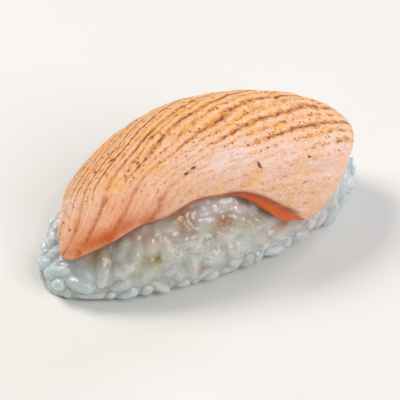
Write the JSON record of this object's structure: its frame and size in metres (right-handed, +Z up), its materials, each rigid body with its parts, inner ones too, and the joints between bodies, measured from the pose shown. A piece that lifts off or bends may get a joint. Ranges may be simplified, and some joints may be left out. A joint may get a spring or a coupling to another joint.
{
  "type": "grilled salmon nigiri",
  "caption": "Oval loaf of pressed short-grain rice under a draped, seared salmon slice with browned muscle bands.",
  "frame": {"origin": "middle of the rice loaf's flat underside", "axes": "+Z up, +X along the loaf towards the end with the thicker salmon, -Y towards the front"},
  "size_m": [0.0652, 0.0344, 0.0252],
  "materials": {
    "cooked_rice": "moist",
    "seared_salmon": "satin"
  },
  "bodies": {
    "root": {"rice": "cooked_rice", "salmon": "seared_salmon"}
  },
  "joints": []
}
